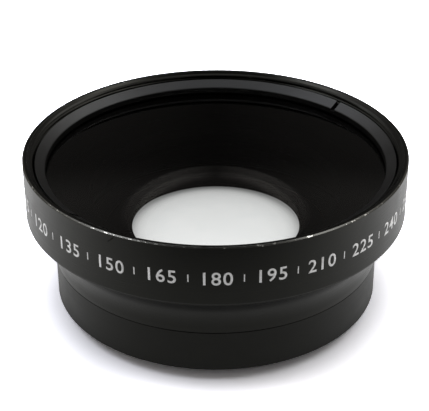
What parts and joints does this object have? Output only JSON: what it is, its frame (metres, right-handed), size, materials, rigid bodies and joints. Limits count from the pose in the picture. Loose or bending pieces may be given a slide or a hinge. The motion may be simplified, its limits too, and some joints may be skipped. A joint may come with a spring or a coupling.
{
  "type": "wide-angle conversion lens",
  "caption": "Round screw-on wide-angle conversion lens: broad black band, concave waist, slimmer macro unit with rear camera thread, large glass sunk in a threaded front rim.",
  "frame": {"origin": "centre of the end face of the rear camera thread, on which the lens stands", "axes": "+Z along the optical axis, out of the front glass towards the subject; the front retaining ring's spanner slots lie 42 degrees round from +X"},
  "size_m": [0.076, 0.076, 0.0327],
  "materials": {
    "black_anodised": "satin black anodised, fine turning marks, worn bright along the rim's edge",
    "front_glass": "polished, with an anti-reflection coating; ground edge blackened",
    "matt_black_front": "matt black anodised",
    "black_anodised_macro": "satin black anodised, fine turning marks",
    "macro_glass": "polished, with an anti-reflection coating",
    "matt_black_macro": "matt black anodised"
  },
  "bodies": {
    "macro_unit": {"macro_barrel": "black_anodised_macro", "macro_element": "macro_glass", "macro_retaining_ring": "matt_black_macro"},
    "front_glass": {"front_element": "front_glass"},
    "front_unit": {"front_barrel": "black_anodised", "front_retaining_ring": "matt_black_front"}
  },
  "joints": [
    {"name": "front_travel", "type": "slide", "parent": "macro_unit", "child": "front_glass", "axis": [0, 0, 1], "range_m": [0, 0.003]},
    {"name": "front_turn", "type": "hinge", "parent": "front_glass", "child": "front_unit", "pos_m": [0, 0, 0], "axis": [0, 0, 1], "range_deg": [0, 1440]}
  ],
  "couplings": [
    {"joint": "front_travel", "follows": "front_turn", "m_per_rad": 0.00011937}
  ]
}
